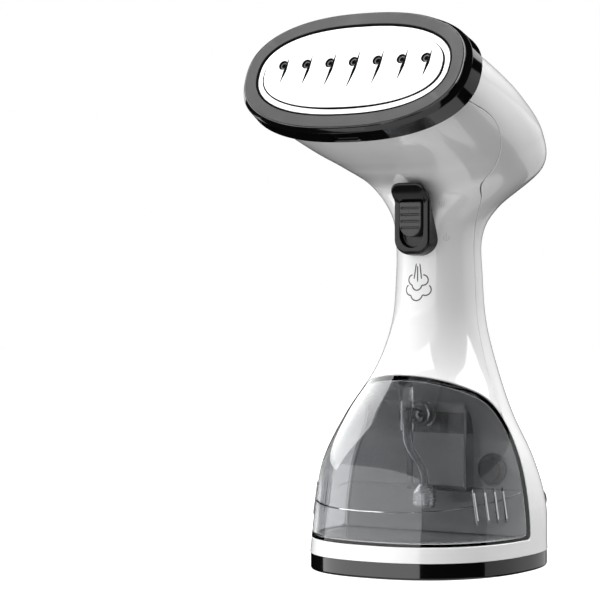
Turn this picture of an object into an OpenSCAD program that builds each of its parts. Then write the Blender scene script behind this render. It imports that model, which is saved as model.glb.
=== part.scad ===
// Handheld garment steamer with a slide-out water tank.
// Frame: +Z up, front (steam) side towards -Y, origin at the centre of the base's underside.

/* [Base] */
// Width of the foot, left to right
base_w = 121; // [119:0.5:124]
// Depth of the foot, front to back
base_d = 139; // [137:0.5:142]
// Height of the black foot ring
foot_h = 9.2; // [8:0.2:10]
// Height of the floor that the tank stands on
deck_z = 17.2; // [16.6:0.2:18]

/* [Handle] */
// Half width of the handle at its waist
handle_half_w = 23.5; // [23:0.25:25]
// Front face of the handle
handle_front_y = -14; // [-14.5:0.25:-13.75]
// Rear face of the handle
handle_back_y = 35; // [35:0.5:37]
// Wall thickness of the white shells
shell_t = 2.4; // [2:0.1:2.6]

/* [Steam head] */
// Lean of the steam plate back from the vertical, in degrees
head_tilt = 24; // [23:0.5:25]
// Centre of the steam plate, front to back
face_y = -81.9; // [-84:0.1:-81]
// Centre of the steam plate, height
face_z = 269.2; // [268:0.2:271]
// Width of the steam plate
plate_w = 117.4; // [116:0.2:118]
// Height of the steam plate
plate_h = 52; // [51:0.5:52.5]
// Number of steam holes
holes = 7; // [5:1:7]
// Distance between steam holes
hole_pitch = 14.7; // [13:0.1:14.8]
// Radius of a steam hole
hole_r = 2.7; // [1.8:0.1:3]
// Row of holes above the plate's middle
hole_rise = 4.7; // [3:0.1:5.5]

/* [Tank] */
// Rear edge of the tank
arch_y = 6.3; // [6:0.1:6.6]
// Radius of the shoulder in the tank's edge
arch_r = 30; // [29:0.5:31]
// Slope of the tank's roof, in degrees
arch_slope = 25.9; // [25.5:0.1:26.5]
// Height where the shoulder starts
arch_z = 70.8; // [70:0.2:71.4]
// Gap between the tank and the housing
tank_gap = 0.7; // [0.5:0.1:0.8]
// Wall thickness of the tank
tank_t = 2.2; // [2:0.1:2.4]

/* [Switch] */
// Middle of the sliding button
slider_z = 191.8; // [191.5:0.1:192]
// Width of the sliding button
slider_w = 13.8; // [13:0.2:14]
// Travel of the sliding button
slider_travel = 5; // [4:0.5:5]

/* [Hidden] */
$fn = 48;

// Colours
white = [0.93, 0.93, 0.93];
black = [0.06, 0.06, 0.07];
smoke = [0.35, 0.36, 0.38, 0.5];
metal = [0.7, 0.7, 0.72];
rubber = [0.2, 0.2, 0.21];
clear_hose = [0.8, 0.8, 0.82];

// Steps of the housing's skin: points round a section, and sections in a span
ring_points = 48;
span_steps = 3;
// Half height of the housing where it enters the collar, and how far behind the plate that is
neck_half_h = 33.8;
collar_depth = 14;
// How far the housing runs on inside the collar
tongue = 2.6;
// Visible seam between the two white shells
seam = 0.2;

// A point in the head's mid plane: u up the plate, d behind it; gives [y, z]
function in_head(u, d) = [
  face_y + u * sin(head_tilt) + d * cos(head_tilt),
  face_z + u * cos(head_tilt) - d * sin(head_tilt)
];

// Sections of the housing from the foot to the collar:
// front y, front z, back y, back z, half width, squareness
sections = [
  [-base_d / 2, foot_h, base_d / 2, foot_h, base_w / 2, 2.35],
  [-65.5, 35, 69, 35, 59, 2.35],
  [-62.5, 60, 60.5, 60, 54, 2.3],
  [-48.5, 85, 48, 85, 43.5, 2.25],
  [-27.5, 110, 43, 110, 32.5, 2.15],
  [-17, 135, 38, 135, 25.5, 2.1],
  [handle_front_y, 160, handle_back_y + 0.5, 160, handle_half_w, 2.1],
  [handle_front_y, 181, handle_back_y, 183, handle_half_w, 2.1],
  [-12.5, 195, 44.5, 200, 29.5, 2.2],
  [-11, 208.5, 70.5, 226, 48, 2.4],
  [-32, 217, 57, 248, 56, 2.55],
  [-49, 222, 20, 268, 61, 2.55],
  [-66, 227, -18, 283, 63.5, 2.45],
  concat(in_head(-neck_half_h, collar_depth), in_head(neck_half_h, collar_depth), [65, 2.35])
];

// Smooth curve through a list of values, with m steps between neighbours
function blend(a, b, c, d, t) =
  0.5 * (2 * b + (c - a) * t + (2 * a - 5 * b + 4 * c - d) * t * t
  + (3 * b - a - 3 * c + d) * t * t * t);
function with_ends(list) =
  let (last = len(list) - 1)
  concat([2 * list[0] - list[1]], list, [2 * list[last] - list[last - 1]]);
function smooth(list, m) =
  let (e = with_ends(list))
  concat(
    [for (i = [0 : len(list) - 2], j = [0 : m - 1]) blend(e[i], e[i + 1], e[i + 2], e[i + 3], j / m)],
    [list[len(list) - 1]]
  );

// Round-cornered oval (superellipse) of half sizes a and b
function power(v, n) = sign(v) * pow(abs(v), 2 / n);
function oval(a, b, n = 2.35, points = 96) = [
  for (i = [0 : points - 1]) let (t = 360 * i / points) [a * power(cos(t), n), b * power(sin(t), n)]
];

// One section of the housing, taken in by t
function section_ring(s, t) =
  let (f = [s[0], s[1]], b = [s[2], s[3]])
  let (half = norm(b - f) / 2, dir = (b - f) / norm(b - f), mid = (f + b) / 2)
  [for (i = [0 : ring_points - 1])
    let (a = 360 * i / ring_points)
    let (p = mid + dir * (half - t) * power(cos(a), s[5]))
    [(s[4] - t) * power(sin(a), s[5]), p[0], p[1]]
  ];
function moved(ring, v) = [for (p = ring) p + v];

// Closed skin through a list of rings
module skin(rings) {
  n = len(rings[0]);
  last = len(rings) - 1;
  points = [for (r = rings) for (p = r) p];
  sides = [
    for (k = [0 : last - 1], i = [0 : n - 1])
      let (j = (i + 1) % n)
      each [[k * n + i, k * n + j, (k + 1) * n + j], [k * n + i, (k + 1) * n + j, (k + 1) * n + i]]
  ];
  first_cap = [for (i = [n - 1 : -1 : 0]) i];
  last_cap = [for (i = [0 : n - 1]) last * n + i];
  polyhedron(points, concat(sides, [first_cap, last_cap]), convexity = 10);
}

// The housing's outer form, taken in by t; its ends run on by t, so an inner form is open ended
module housing_form(t = 0) {
  rings = [for (s = smooth(sections, span_steps)) section_ring(s, t)];
  last = rings[len(rings) - 1];
  out = [0, -cos(head_tilt), sin(head_tilt)];
  skin(concat(
    t > 0 ? [moved(rings[0], [0, 0, -t])] : [],
    rings,
    [moved(last, out * (tongue + max(t, 0)))]
  ));
}

// Everything inside is worked out as one triangle mesh
module mesh() resize([0, 0, 0]) children();

// Puts a side view, drawn as [y, z], across the whole width
module across(width = 200) rotate([90, 0, 90]) linear_extrude(width, center = true) children();

// Side view of the tank, taken in by g; a negative g makes it larger
module tank_side(g = 0) {
  centre = [arch_y - arch_r, arch_z];
  r = arch_r - g;
  shoulder = centre + r * [sin(arch_slope), cos(arch_slope)];
  far = shoulder + 100 * [-cos(arch_slope), sin(arch_slope)];
  polygon(concat(
    [[-110, deck_z + g / 2], [arch_y - g, deck_z + g / 2]],
    [for (a = [0 : 4 : 90 - arch_slope]) centre + r * [cos(a), sin(a)]],
    [shoulder, far, [-110, far[1]]]
  ));
}

// Side view of what lies in front of the seam between the white shells
seam_line = [
  in_head(-12, -6), in_head(-11.5, 14), [-41, 244.5], [-21, 231], [-6, 215],
  [4, 200], [8.5, 183], [9.5, 160], [9, 135], [7.5, 115], [5, 98], [4, 82]
];
module front_side(g = 0) {
  line = smooth(seam_line, 4);
  polygon(concat([for (p = line) p + [-g, 0]], [[-140, 82], [-140, line[0][1]]]));
}

// Puts its children in the steam plate's own frame: x across, y up the plate, z out to the front
module on_face() translate([0, face_y, face_z]) rotate([90 - head_tilt, 0, 0]) children();

// A flat piece with an oval outline, between two heights
module oval_slab(a, b, z0, z1, n = 2.35)
  translate([0, 0, z0]) linear_extrude(z1 - z0) polygon(oval(a, b, n));

// A cylinder along Y from y0 to y1
module rod_y(r, y0, y1, x = 0, z = 0)
  translate([x, y0, z]) rotate([-90, 0, 0]) cylinder(h = y1 - y0, r = r);

// Round tube or wire of radius r swept along a list of points
module sweep(path, r, sides = 10) {
  last = len(path) - 1;
  skin([for (i = [0 : last])
    let (t = path[min(i + 1, last)] - path[max(i - 1, 0)])
    let (d = t / norm(t), ref = abs(d[0]) < 0.8 ? [1, 0, 0] : [0, 1, 0])
    let (u = cross(d, ref) / norm(cross(d, ref)), v = cross(d, u))
    [for (k = [0 : sides - 1]) path[i] + r * (cos(360 * k / sides) * u + sin(360 * k / sides) * v)]
  ]);
}

// ---------- base ----------
screw_at = [[-38, -44], [38, -44], [-38, 46], [38, 46]];
boss_r = 4.5;

module base_foot() color(black)
  difference() {
    union() {
      difference() {
        oval_slab(base_w / 2 - 0.4, base_d / 2 - 0.4, 0, foot_h - 0.2);
        oval_slab(base_w / 2 - 3, base_d / 2 - 3, 3, foot_h + 1);
      }
      for (p = screw_at) translate([p[0], p[1], 1]) cylinder(h = foot_h - 1.3, r = boss_r + 1);
    }
    for (p = screw_at) translate([p[0], p[1], -1]) {
      cylinder(h = 20, r = 1.8);
      cylinder(h = 5, r = 3.8);
    }
  }

module tank_deck() color(white)
  difference() {
    union() {
      oval_slab(base_w / 2 - shell_t - 0.9, base_d / 2 - shell_t - 1.6, deck_z - 2.4, deck_z);
      for (p = screw_at) translate([p[0], p[1], foot_h]) cylinder(h = deck_z - foot_h - 1, r = boss_r);
    }
    for (p = screw_at) translate([p[0], p[1], foot_h - 1]) cylinder(h = deck_z - foot_h, r = 1.55);
  }

module base_screw(k) color(metal) translate([screw_at[k][0], screw_at[k][1], 0])
  difference() {
    union() {
      translate([0, 0, 4]) cylinder(h = deck_z - 6, r = 1.5);
      translate([0, 0, 1.6]) cylinder(h = 2.4, r = 3.5);
    }
    translate([0, 0, 1]) for (a = [0, 90]) rotate(a) cube([4, 0.9, 3], center = true);
  }
module base_screw_1() base_screw(0);
module base_screw_2() base_screw(1);
module base_screw_3() base_screw(2);
module base_screw_4() base_screw(3);

// ---------- housing ----------
gland_x = 22;
gland_z = 31.5;
gland_r = 8;
shell_screws = [[125, 40], [157, 36]];

module shell_screw_boss(s) {
  rod_y(5.5, s[1] - 10, s[1] - 1, z = s[0]);
}
module shell_screw_hole(s) {
  rod_y(3.8, s[1] - 5, s[1] + 5, z = s[0]);
  rod_y(1.8, s[1] - 12, s[1], z = s[0]);
}

module rear_shell() color(white) mesh()
  difference() {
    intersection() {
      housing_form();
      union() {
        difference() {
          housing_form();
          housing_form(shell_t);
        }
        for (s = shell_screws) shell_screw_boss(s);
      }
    }
    across() tank_side();
    across() front_side();
    for (s = shell_screws) shell_screw_hole(s);
    rod_y(gland_r + 0.1, 50, 80, gland_x, gland_z);
  }

module front_shell() color(white) mesh()
  difference() {
    intersection() {
      housing_form();
      across() front_side(seam);
    }
    housing_form(shell_t);
    across() tank_side();
    stem_slot(7, 1);
  }

// Pump bay: the box that stands into the back of the tank
bay_x0 = -9;
bay_x1 = 23;
bay_y = -2;
bay_z = 45;
wall = 2;

module bay_box(g = 0) {
  translate([bay_x0 - g, bay_y - g, bay_z - g]) cube([bay_x1 - bay_x0 + 2 * g, 40, 80]);
}

// The tank's filler plug and its pocket behind it
plug_x = 36;
plug_z = 54;
plug_r = 8;
plug_pull = 8;

outlet_z = 84;

module tank_bulkhead() color(white) mesh()
  difference() {
    union() {
      intersection() {
        housing_form(shell_t + 0.15);
        union() {
          difference() {
            across() tank_side(-0.6 - wall);
            across() tank_side(-0.6);
          }
          intersection() {
            bay_box();
            across() tank_side(-0.6 - wall);
          }
        }
        translate([-100, -100, deck_z]) cube([200, 200, 120]);
      }
      rod_y(plug_r + 3, arch_y + 1, arch_y + plug_pull + 8, plug_x, plug_z);
    }
    intersection() {
      bay_box(-wall);
      across() tank_side(-0.6);
    }
    translate([bay_x0 + wall, 0, bay_z + wall]) cube([bay_x1 - bay_x0 - 2 * wall, 30, 18]);
    rod_y(3.1, bay_y - 5, bay_y + 14, 0, outlet_z);
    rod_y(plug_r + 1.2, arch_y - 1, arch_y + plug_pull + 6, plug_x, plug_z);
  }

// ---------- steam head ----------
bezel_a = 66.5;
bezel_b = 33.7;
collar_a = 71;
collar_b = 35.7;

module head_collar() color(black) on_face()
  difference() {
    union() {
      translate([0, -0.4, 0]) oval_slab(collar_a, collar_b, -12.6, -7.6);
      translate([0, -0.35, 0]) oval_slab(collar_a - 0.5, collar_b - 0.25, -7.6, -3.4);
      oval_slab(bezel_a + 2.6, bezel_b + 1.3, -3.4, -2.2);
      oval_slab(bezel_a + 1.2, bezel_b + 0.8, -2.2, -1);
    }
    oval_slab(62, 30.6, -14, 0);
    oval_slab(bezel_a + 0.15, bezel_b + 0.15, -4.85, 0);
    oval_slab(65.4, neck_half_h + 0.4, -14, -11);
    translate([-8, -collar_b - 5, -11.2]) cube([16, 6.2, 3]);
  }

module bezel_ring() color([0.2, 0.2, 0.21]) on_face()
  difference() {
    union() {
      oval_slab(bezel_a, bezel_b, -2.4, 0.6);
      oval_slab(bezel_a - 0.5, bezel_b - 0.5, -4.7, -2.4);
    }
    oval_slab(plate_w / 2 + 0.3, plate_h / 2 + 0.3, -6, 2);
  }

// Place of a steam hole along the row
function hole_x(k) = (k - (holes - 1) / 2) * hole_pitch;
module steam_hole(k) translate([hole_x(k), hole_rise, 0]) cylinder(h = 20, r = hole_r, center = true);

// A thin curved groove beside each hole
module swirl_cut(k) {
  long = 24 - 2.6 * abs(k - (holes - 1) / 2);
  r = 80;
  translate([hole_x(k) - r + 2.5, hole_rise - 3, 0.15])
    rotate_extrude(angle = 2 * asin(long / 2 / r), start = -asin(long / 2 / r), $fn = 96)
      translate([r, 0]) square([0.7, 1.6], center = false);
}

module steam_plate() color(white) on_face()
  difference() {
    union() {
      oval_slab(plate_w / 2, plate_h / 2, -4, 0);
      oval_slab(plate_w / 2 - 3.8, plate_h / 2 - 4.5, -1, 0.8, 2.4);
    }
    for (k = [0 : holes - 1]) {
      steam_hole(k);
      swirl_cut(k);
    }
  }

module plate_gasket() color(rubber) on_face()
  difference() {
    oval_slab(54, 22, -6.2, -4.1);
    oval_slab(50, 18, -7, -3);
  }

element_r = 3.5;
boiler_back = -24;
inlet_u = -13;
element_u = 6;

module boiler() color(metal) on_face()
  difference() {
    union() {
      oval_slab(53, 21, boiler_back, -6.3, 2.6);
      translate([0, inlet_u, boiler_back - 9]) cylinder(h = 10, r = 4);
    }
    oval_slab(47, 15, -14, -5, 2.6);
    translate([0, inlet_u, boiler_back - 10]) cylinder(h = 25, r = 1.6);
    for (x = [-34, 34]) translate([x, 0, boiler_back - 1]) cylinder(h = 6, r = 1.5);
  }

module boiler_frame() color(black) on_face()
  difference() {
    oval_slab(61.6, 30.2, -12.5, -10);
    oval_slab(53.4, 21.4, -13, -9, 2.6);
  }

module heating_element() color([0.55, 0.5, 0.45]) on_face()
  translate([0, element_u, boiler_back - element_r - 0.1]) {
    bend = 9;
    straight = 30;
    pin = 9;
    for (s = [-1, 1]) {
      translate([-straight, s * bend, 0]) rotate([0, 90, 0]) cylinder(h = 2 * straight, r = element_r);
      translate([-straight - pin, s * bend, 0]) rotate([0, 90, 0]) cylinder(h = pin, r = 1.2);
    }
    translate([straight, 0, 0]) rotate_extrude(angle = 180, start = -90)
      translate([bend, 0]) circle(r = element_r);
  }

module thermostat() color(black) on_face() translate([12, element_u, boiler_back]) {
  translate([0, 0, -3]) cylinder(h = 2.9, r = 5.3);
  translate([0, 0, -7.5]) cylinder(h = 4.5, r = 4.6);
  for (s = [-1, 1]) translate([s * 3 - 1, -1.5, -13]) cube([2, 3, 5.5]);
}

module thermal_fuse() color(metal) on_face()
  translate([-20, element_u, boiler_back - 2.2]) rotate([0, 90, 0]) {
    cylinder(h = 12, r = 2);
    for (z = [-6, 12]) translate([0, 0, z]) cylinder(h = 6, r = 0.5);
  }

// ---------- switch ----------
pad_front = -20.5;
pad_floor = -16.6;
pad_half_w = 10.9;
pad_z0 = 172.5;
pad_z1 = 213.5;
slider_h = 19.4;
window_z0 = slider_z - slider_h / 2 - slider_travel - 0.9;
window_z1 = slider_z + slider_h / 2 + 0.5;
stem_h = 8;
// Slot for the slider's stem: width w, clear of the stem by c at both ends of its travel
module stem_slot(w, c) translate([-w / 2, -20, slider_z - stem_h / 2 - slider_travel - c])
  cube([w, 15, stem_h + slider_travel + 2 * c]);

// Front view with round ends: half width a, from z0 to z1, corner radii r0 below and r1 above
module front_view(a, z0, z1, r0, r1, y0, y1)
  rotate([90, 0, 0]) translate([0, 0, -y1]) linear_extrude(y1 - y0) hull() {
    for (s = [-1, 1]) {
      translate([s * (a - r0), z0 + r0]) circle(r = r0, $fn = 40);
      translate([s * (a - r1), z1 - r1]) circle(r = r1, $fn = 40);
    }
  }

pad_side = [
  [-4, 171], [-17, 172], [-19.6, 173.2], [pad_front, 176], [pad_front, 201.5], [-21.3, 204.5],
  [-23, 208], [-25.4, 211.4], [-25.6, 213], [-23, 215], [-4, 216]
];

module switch_bezel() color(black) mesh()
  difference() {
    intersection() {
      hull() {
        front_view(pad_half_w, pad_z0, pad_z1, 8.5, 6, -27, -19.8);
        front_view(pad_half_w + 1.6, pad_z0 - 1, pad_z1 + 1, 9.5, 7, -10, -5);
      }
      across() polygon(pad_side);
    }
    housing_form(-0.05);
    front_view(slider_w / 2 + 0.6, window_z0, window_z1, slider_w / 2 + 0.5, 1.1, -40, pad_floor);
    stem_slot(6, 0.6);
  }

groove_pitch = 3.6;

module switch_slider() color([0.13, 0.13, 0.14])
  difference() {
    union() {
      rotate([90, 0, 0]) translate([0, 0, 17.2]) linear_extrude(4.4) {
        translate([0, slider_z - slider_h / 2 + slider_w / 2]) circle(r = slider_w / 2, $fn = 64);
        translate([-slider_w / 2, slider_z - slider_h / 2 + slider_w / 2])
          square([slider_w, slider_h - slider_w / 2 - 0.2]);
      }
      translate([-2.5, -17.3, slider_z - stem_h / 2]) cube([5, 8.5, stem_h]);
    }
    for (k = [0 : 3])
      translate([-slider_w / 2 + 1.2, -22.6, slider_z - 5.1 + k * groove_pitch])
        cube([slider_w - 2.4, 1.9, 0.9]);
  }

ramp_slope = 0.3;
ramp_z = slider_z - 5.8;
ramp_y = -6;
ramp_h = 11.4;

module slider_carriage() color(white) {
  translate([-5, -8.8, slider_z - 7.8]) cube([10, 2.2, 13.4]);
  across(4) polygon([
    [-6.7, ramp_z - 1], [ramp_y, ramp_z],
    [ramp_y + ramp_slope * ramp_h, ramp_z + ramp_h], [-6.7, ramp_z + ramp_h]
  ]);
}

plunger_r = 1.2;
plunger_z = slider_z - 2.8;
plunger_tip = ramp_y + ramp_slope * (plunger_z + plunger_r - ramp_z) + 0.12;
micro_y = -1.1;

module microswitch() color([0.15, 0.15, 0.16])
  difference() {
    union() {
      translate([-3.2, micro_y, slider_z - 12]) cube([6.4, 10, 20]);
      for (k = [0 : 2]) translate([-0.4, micro_y + 10, slider_z - 10 + 7 * k]) cube([0.8, 5, 3]);
    }
    rod_y(plunger_r + 0.05, micro_y - 1, micro_y + 5, 0, plunger_z);
    for (z = [-9, 5])
      translate([-5, micro_y + 7, slider_z + z]) rotate([0, 90, 0]) cylinder(h = 10, r = 1.2);
  }

module switch_plunger() color([0.8, 0.3, 0.2]) rod_y(plunger_r, plunger_tip, micro_y + 3, 0, plunger_z);

// ---------- tank ----------
// Side view of what lies below the weld, which rises towards the back
weld_z = 35;
weld_rise = 0.125;
module below_weld(g) polygon([
  [-110, weld_z - g - 45 * weld_rise], [20, weld_z - g + 85 * weld_rise], [20, 0], [-110, 0]
]);

// Places of the upright grip ribs on both sides
rib_y = [-38.6, -32, -25.3, -18.6];
rib_z0 = 29.5;
rib_z1 = 46.5;
// Half width of the tank at a given y and z, near the ribs
function side_x(y, z) =
  let (f = (z - 35) / 25, a = 59 - 5 * f, h = 67.2 - 5.7 * f, c = 1.7 - 2.7 * f)
  a * pow(1 - pow(abs(y - c) / h, 2.33), 1 / 2.33);

module grip_ribs()
  for (s = [-1, 1], y = rib_y)
    hull() {
      for (z = [rib_z0, rib_z1]) translate([s * (side_x(y, z) - 0.2), y, z]) sphere(r = 0.9, $fn = 12);
    }

module tank_form(t) {
  intersection() {
    housing_form(t);
    across() tank_side(tank_gap + t);
  }
}

module tank_wall()
  difference() {
    union() {
      tank_form(0.01);
      grip_ribs();
    }
    difference() {
      tank_form(tank_t);
      bay_box(0.6 + tank_t);
    }
    bay_box(0.6);
    rod_y(5.2, -8, 2, 0, outlet_z);
    rod_y(plug_r - 2, -4, 12, plug_x, plug_z);
  }

module tank_upper() color(smoke) mesh()
  difference() {
    tank_wall();
    across() below_weld(-0.06);
  }

module tank_lower() color(smoke) mesh()
  intersection() {
    tank_wall();
    across() below_weld(0.06);
  }

sleeve_y = -25.5;
sleeve_r = 4;
socket_end = bay_y - 0.7 - tank_t;

module outlet_sleeve() color(smoke)
  difference() {
    union() {
      difference() {
        translate([0, sleeve_y, 76]) cylinder(h = 30, r = sleeve_r);
        across() difference() {
          translate([-60, 60]) square([70, 80]);
          tank_side(tank_gap + tank_t + 0.15);
        }
      }
      rod_y(sleeve_r, sleeve_y, socket_end - 8, 0, outlet_z);
      rod_y(6.8, socket_end - 9, socket_end, 0, outlet_z);
    }
    translate([0, sleeve_y, 70]) cylinder(h = 22, r = 2.4);
    rod_y(2.4, sleeve_y, socket_end - 6, 0, outlet_z);
    rod_y(5.2, socket_end - 6, socket_end + 1, 0, outlet_z);
  }

module tank_seal() color(rubber)
  difference() {
    rod_y(5.15, socket_end - 5.9, socket_end - 0.2, 0, outlet_z);
    rod_y(3.05, socket_end - 7, socket_end + 1, 0, outlet_z);
  }

// Cubic curve from a to d with handles b and c
function curve(a, b, c, d, m) = [
  for (i = [0 : m]) let (t = i / m, s = 1 - t)
    s * s * s * a + 3 * s * s * t * b + 3 * s * t * t * c + t * t * t * d
];

weight_at = [6, -16, 40];

module pickup_tube() color(clear_hose)
  sweep(concat(
    [[0, sleeve_y, 80], [0, sleeve_y, 75.6]],
    curve([0, sleeve_y, 75], [0, sleeve_y, 62], weight_at + [0, 0, 20], weight_at + [0, 0, 7.8], 14),
    [weight_at + [0, 0, 7.2]]
  ), 2.3);

module filter_weight() color(metal) translate(weight_at) {
  difference() {
    rotate_extrude() polygon([[0, -6], [5.4, -6], [6.6, -4.5], [6.6, 1.5], [4.6, 4.6], [2.6, 7], [0, 7]]);
    for (a = [0 : 45 : 135]) rotate(a) translate([0, 0, -5.5]) cube([14, 1, 2], center = true);
  }
}

module tank_plug() color(rubber) {
  rod_y(plug_r, arch_y - tank_gap + 0.1, arch_y + 1.6, plug_x, plug_z);
  rod_y(plug_r - 2.3, arch_y - tank_gap - tank_t - 1, arch_y - tank_gap + 0.2, plug_x, plug_z);
  translate([plug_x - 1, arch_y + 1.5, plug_z - 5]) cube([2, 3, 10]);
}

// ---------- pump and water path ----------
pump_x = 7;
pump_y = 22;
bore_r = 4.05;
piston_r = 4;
piston_z0 = 57;
piston_z1 = 74;
spring_z0 = 47;
pump_foot_z = 26;

spigot_end = bay_y + wall + 10;

module tank_spigot() color(black)
  difference() {
    union() {
      rod_y(3, socket_end - 5, spigot_end, 0, outlet_z);
      rod_y(4.5, bay_y + wall + 0.1, bay_y + wall + 0.9, 0, outlet_z);
    }
    rod_y(1.6, socket_end - 6, spigot_end + 1, 0, outlet_z);
  }

module inlet_hose() color(clear_hose)
  sweep(concat(
    [[0, spigot_end + 0.1, outlet_z], [0, spigot_end + 0.6, outlet_z]],
    curve([0, spigot_end + 1, outlet_z], [0, 20, outlet_z], [-14, 18, 90], [-14, 22, 72], 10),
    curve([-14, 23, 66], [-14, 24, 36], [-14, pump_y, 26], [-6, pump_y, 26], 10),
    [[pump_x - 8, pump_y, 26]]
  ), 2.6);

module pump_body() color(white) translate([pump_x, pump_y, 0])
  difference() {
    union() {
      translate([0, 0, 34]) cylinder(h = 60, r = 6.8);
      translate([0, 0, 20]) cylinder(h = 14.5, r = 5.5);
      translate([0, 0, 93]) cylinder(h = 9, r = 3);
      translate([-8, 0, 26]) rotate([0, 90, 0]) cylinder(h = 6, r = 2.4);
    }
    translate([0, 0, spring_z0]) cylinder(h = 38, r = bore_r);
    translate([0, 0, 22]) cylinder(h = 26, r = 1.8);
    translate([0, 0, 80]) cylinder(h = 30, r = 1.5);
    translate([-9, 0, 26]) rotate([0, 90, 0]) cylinder(h = 9, r = 1.3);
  }

module pump_coil() color([0.5, 0.3, 0.15]) translate([pump_x, pump_y, 0])
  difference() {
    union() {
      for (z = [50, 77]) translate([-12, -11, z]) cube([24, 22, 2.5]);
      translate([0, 0, 52]) cylinder(h = 26, r = 10.5);
    }
    translate([0, 0, 40]) cylinder(h = 50, r = 6.85);
  }

module pump_piston() color(metal) translate([pump_x, pump_y, 0])
  difference() {
    translate([0, 0, piston_z0]) cylinder(h = piston_z1 - piston_z0, r = piston_r);
    translate([0, 0, piston_z0 - 1]) cylinder(h = 30, r = 1.3);
  }

module pump_spring() color(metal) {
  turns = 5;
  steps = 12;
  r = 3;
  wire = 0.45;
  z0 = spring_z0 + wire + 0.1;
  rise = piston_z0 - spring_z0 - 2 * wire - 0.4;
  sweep([for (i = [0 : turns * steps])
    [pump_x + r * cos(360 * i / steps), pump_y + r * sin(360 * i / steps), z0 + rise * i / (turns * steps)]
  ], wire, 6);
}

module pump_bracket() color(black) translate([pump_x, pump_y, 0])
  difference() {
    union() {
      translate([-13, -9, deck_z]) cube([26, 20, 2.6]);
      translate([0, 0, deck_z]) cylinder(h = 6, r = 8.4);
    }
    translate([0, 0, deck_z + 2.7]) cylinder(h = 10, r = 5.6);
  }

hose_x = -9;
// Point on the boiler inlet's axis, at a distance behind the plate
function inlet_end(behind) = concat([0], in_head(inlet_u, behind));

module steam_hose() color(clear_hose)
  sweep(concat(
    [[pump_x, pump_y, 102.1], [pump_x, pump_y, 102.6]],
    curve([pump_x, pump_y, 103], [pump_x, pump_y, 116], [hose_x, 17, 118], [hose_x, 17, 136], 8),
    curve([hose_x, 17, 142], [hose_x, 17, 196], [0, 36, 226], [0, 0, 228], 14),
    curve([0, -6, 228], [0, -20, 229], inlet_end(55), inlet_end(33.1), 8)
  ), 2.8);

module control_board() color([0.1, 0.35, 0.2])
  difference() {
    translate([-24, 40, 26]) cube([48, 1.6, 44]);
    for (x = [-20, 20], z = [30, 66]) rod_y(1.6, 35, 45, x, z);
  }

module board_parts() color([0.2, 0.2, 0.25]) {
  translate([-21, 29, 34]) cube([14, 10.9, 13]);
  translate([2, 34.5, 50]) cube([12, 5.4, 10]);
  rod_y(4, 32, 39.9, 14, 38);
  rod_y(3, 33, 39.9, -12, 58);
}

// ---------- cord inlet ----------
module cord_gland() color(black)
  difference() {
    union() {
      rod_y(gland_r, 55, 84, gland_x, gland_z);
      rod_y(gland_r + 1.6, 69, 72, gland_x, gland_z);
    }
    rod_y(3.6, 50, 90, gland_x, gland_z);
    for (y = [74.5, 78, 81.5])
      difference() {
        rod_y(gland_r + 1, y, y + 1.2, gland_x, gland_z);
        rod_y(gland_r - 1, y - 1, y + 3, gland_x, gland_z);
      }
  }

module gland_nut() color(black)
  difference() {
    rod_y(gland_r + 2.5, 55.5, 58.5, gland_x, gland_z);
    rod_y(gland_r + 0.05, 50, 62, gland_x, gland_z);
  }

module cord_clamp() color(white)
  difference() {
    union() {
      translate([gland_x - 9, 46, deck_z]) cube([18, 7, 21]);
      translate([gland_x - 12, 44, deck_z]) cube([24, 10.5, 2.4]);
    }
    rod_y(3.6, 40, 60, gland_x, gland_z);
  }

// ---------- handle ----------
module handle_rib(s) color(white)
  difference() {
    union() {
      translate([-17.2, 0, s[0] - 3]) cube([34.4, 6, 6]);
      rod_y(4.5, 0, 12, z = s[0]);
    }
    rod_y(1.55, 1, 20, z = s[0]);
  }
module handle_rib_1() handle_rib(shell_screws[0]);
module handle_rib_2() handle_rib(shell_screws[1]);

module shell_screw(s) color(metal)
  difference() {
    union() {
      rod_y(1.5, 3, s[1] - 4.9, z = s[0]);
      rod_y(3.5, s[1] - 4.95, s[1] - 2.4, z = s[0]);
    }
    for (a = [0, 90])
      translate([0, s[1] - 2.4, s[0]]) rotate([0, a, 0]) cube([4, 2, 0.9], center = true);
  }
module shell_screw_1() shell_screw(shell_screws[0]);
module shell_screw_2() shell_screw(shell_screws[1]);

base_foot();
tank_deck();
rear_shell();
front_shell();
tank_bulkhead();
head_collar();
bezel_ring();
steam_plate();
plate_gasket();
boiler();
boiler_frame();
heating_element();
thermostat();
thermal_fuse();
switch_bezel();
switch_slider();
slider_carriage();
microswitch();
switch_plunger();
tank_upper();
tank_lower();
outlet_sleeve();
tank_seal();
pickup_tube();
filter_weight();
tank_plug();
tank_spigot();
inlet_hose();
pump_body();
pump_coil();
pump_piston();
pump_spring();
pump_bracket();
steam_hose();
control_board();
board_parts();
cord_gland();
gland_nut();
cord_clamp();
handle_rib_1();
handle_rib_2();
shell_screw_1();
shell_screw_2();
base_screw_1();
base_screw_2();
base_screw_3();
base_screw_4();
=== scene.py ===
import math
from collections import namedtuple

import bmesh
import bpy
import numpy as np
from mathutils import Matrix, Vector
from mathutils.bvhtree import BVHTree


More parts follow.
